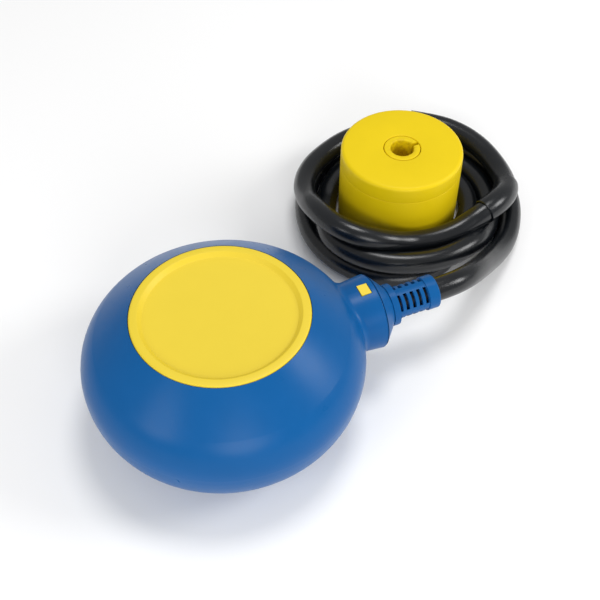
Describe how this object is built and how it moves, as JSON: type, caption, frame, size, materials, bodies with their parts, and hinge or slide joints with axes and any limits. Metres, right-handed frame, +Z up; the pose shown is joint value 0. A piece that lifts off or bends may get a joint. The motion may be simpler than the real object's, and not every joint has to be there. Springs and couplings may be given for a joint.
{
  "type": "cable float switch",
  "caption": "Tilt-operated cable float switch: rounded float with a round cover, neck gland, coiled cable and a cylindrical counterweight.",
  "frame": {"origin": "middle of the float's flat foot, on the surface that it lies on", "axes": "+Z up through the cover disc, +X along the neck towards the cable's exit"},
  "size_m": [0.2079, 0.1663, 0.0534],
  "materials": {
    "blue_shell": "moulded satin, light blue",
    "yellow_cover": "moulded satin, yellow",
    "yellow_clip": "moulded, yellow",
    "yellow_weight": "moulded, deeper yellow",
    "blue_gland": "moulded satin, light blue",
    "black_rubber": "soft black rubber",
    "black_cable": "matt black cable jacket",
    "grey_chamber": "moulded, light grey",
    "steel": "plain zinc-plated steel",
    "ball_steel": "polished steel",
    "brass": "bright contact brass",
    "black_case": "moulded, black",
    "red_button": "moulded, red",
    "iron": "rough cast iron",
    "brown_core": "brown core insulation",
    "blue_core": "blue core insulation",
    "black_core": "black core insulation"
  },
  "bodies": {
    "housing": {"float_body": "blue_shell", "cover_disc": "yellow_cover", "cover_seal": "black_rubber", "cable_grommet": "black_rubber", "grommet_washer": "steel", "gland_clip": "yellow_clip", "gland_plug": "blue_gland", "strain_relief": "blue_gland", "cable_end": "black_cable", "capsule_base": "grey_chamber", "capsule_gasket": "black_rubber", "capsule_lid": "grey_chamber", "capsule_screws": "steel", "capsule_grommet": "black_rubber", "ball_guide": "grey_chamber", "switch_case": "black_case", "switch_cover": "black_case", "switch_screws": "steel", "lever_pin": "steel", "common_terminal": "brass", "open_terminal": "brass", "closed_terminal": "brass", "brown_wire": "brown_core", "blue_wire": "blue_core", "black_wire": "black_core", "cable_lead": "black_cable", "cable_coil": "black_cable", "cable_sleeve": "black_rubber", "weight_cup": "yellow_weight", "weight_ballast": "iron", "weight_lid": "yellow_weight", "weight_clamp": "yellow_weight"},
    "ball": {"steel_ball": "ball_steel"},
    "lever": {"switch_lever": "steel"},
    "plunger": {"switch_plunger": "red_button"},
    "blade": {"contact_blade": "brass"}
  },
  "joints": [
    {"name": "ball_roll", "type": "slide", "parent": "housing", "child": "ball", "axis": [1, 0, 0], "range_m": [0, 0.0114]},
    {"name": "lever_swing", "type": "hinge", "parent": "housing", "child": "lever", "pos_m": [0.0022, 0, 0.0142], "axis": [0, 1, 0], "range_deg": [0, 2.6], "stiffness_Nm_per_rad": 0.004},
    {"name": "plunger_press", "type": "slide", "parent": "housing", "child": "plunger", "axis": [1, 0, 0], "range_m": [0, 0.0003]},
    {"name": "blade_flip", "type": "hinge", "parent": "housing", "child": "blade", "pos_m": [0.0096, 0, 0.01596], "axis": [0, 1, 0], "range_deg": [0, 2.5]}
  ],
  "couplings": [
    {"joint": "plunger_press", "follows": "lever_swing", "m_per_rad": 0.0063},
    {"joint": "blade_flip", "follows": "lever_swing", "ratio": 0.95}
  ]
}
